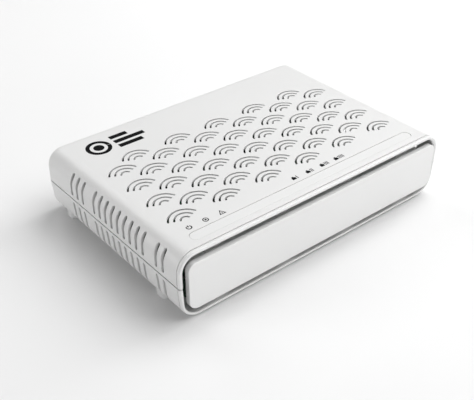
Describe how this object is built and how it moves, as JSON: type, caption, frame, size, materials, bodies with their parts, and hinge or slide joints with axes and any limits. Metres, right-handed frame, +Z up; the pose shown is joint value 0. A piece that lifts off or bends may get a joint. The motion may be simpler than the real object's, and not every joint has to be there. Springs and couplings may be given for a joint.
{
  "type": "optical network terminal",
  "caption": "Flat white desktop optical network terminal with wave-shaped top vents, slotted sides, a floating front panel, rear network and fibre ports and a push power button.",
  "frame": {"origin": "centre of the terminal's footprint, on the surface it stands on", "axes": "+X to the right seen from the front, along the long side; +Y from the front panel to the back with the ports; +Z up"},
  "size_m": [0.1632, 0.116, 0.035],
  "materials": {
    "white_shell": "satin moulded plastic with a fine spark texture",
    "white_panel": "smooth semi-gloss plastic",
    "window_film": "smooth translucent white film",
    "clear_guide": "clear polished plastic",
    "lamp_resin": "moulded lamp resin, unlit",
    "black_plastic": "satin black plastic",
    "chip_black": "matt moulded epoxy",
    "contact_gold": "gold-plated spring wire in a dark insert",
    "port_green": "satin green plastic",
    "sleeve_ceramic": "polished white ceramic",
    "plated_steel": "zinc or nickel plate",
    "soft_cap": "soft matt elastomer",
    "grey_plastic": "matt grey plastic",
    "button_white": "satin white plastic",
    "board_green": "solder resist over glass laminate",
    "aluminium": "plain satin",
    "pad_grey": "soft matt pad",
    "ferrite": "dark sintered body",
    "label_paper": "blank matt label"
  },
  "bodies": {
    "casing": {"board_screw_1": "plated_steel", "board_screw_2": "plated_steel", "board_screw_3": "plated_steel", "board_screw_4": "plated_steel", "bottom_shell": "white_shell", "capacitor_1": "aluminium", "capacitor_2": "aluminium", "capacitor_3": "aluminium", "case_screw_1": "plated_steel", "case_screw_2": "plated_steel", "case_screw_3": "plated_steel", "case_screw_4": "plated_steel", "crystal": "plated_steel", "fibre_port": "port_green", "fibre_sleeve": "sleeve_ceramic", "flash_chip": "chip_black", "front_panel": "white_panel", "heat_sink": "aluminium", "inductor": "ferrite", "lan_contacts_1": "contact_gold", "lan_contacts_2": "contact_gold", "lan_contacts_3": "contact_gold", "lan_contacts_4": "contact_gold", "lan_jack_1": "black_plastic", "lan_jack_2": "black_plastic", "lan_jack_3": "black_plastic", "lan_jack_4": "black_plastic", "led_lan_1": "lamp_resin", "led_lan_2": "lamp_resin", "led_lan_3": "lamp_resin", "led_lan_4": "lamp_resin", "led_los": "lamp_resin", "led_pon": "lamp_resin", "led_power": "lamp_resin", "led_window": "window_film", "light_guide": "clear_guide", "line_transformer_1": "chip_black", "line_transformer_2": "chip_black", "main_board": "board_green", "memory_chip": "chip_black", "optical_module": "plated_steel", "optical_shield": "plated_steel", "power_inlet": "black_plastic", "power_inlet_pin": "plated_steel", "power_switch": "grey_plastic", "processor": "chip_black", "rating_label": "label_paper", "reset_switch": "black_plastic", "thermal_pad": "pad_grey", "top_shell": "white_shell"},
    "power_button": {"power_button": "button_white"},
    "reset_plunger": {"reset_plunger": "button_white"},
    "dust_cap": {"dust_cap": "soft_cap"}
  },
  "joints": [
    {"name": "power_button_press", "type": "slide", "parent": "casing", "child": "power_button", "axis": [0, -1, 0], "range_m": [0, 0.002], "stiffness_N_per_m": 600, "springref_m": -0.001},
    {"name": "reset_press", "type": "slide", "parent": "casing", "child": "reset_plunger", "axis": [0, -1, 0], "range_m": [0, 0.0004], "stiffness_N_per_m": 1500, "springref_m": -0.0003},
    {"name": "dust_cap_pull", "type": "slide", "parent": "casing", "child": "dust_cap", "axis": [0, 1, 0], "range_m": [0, 0.012]}
  ]
}
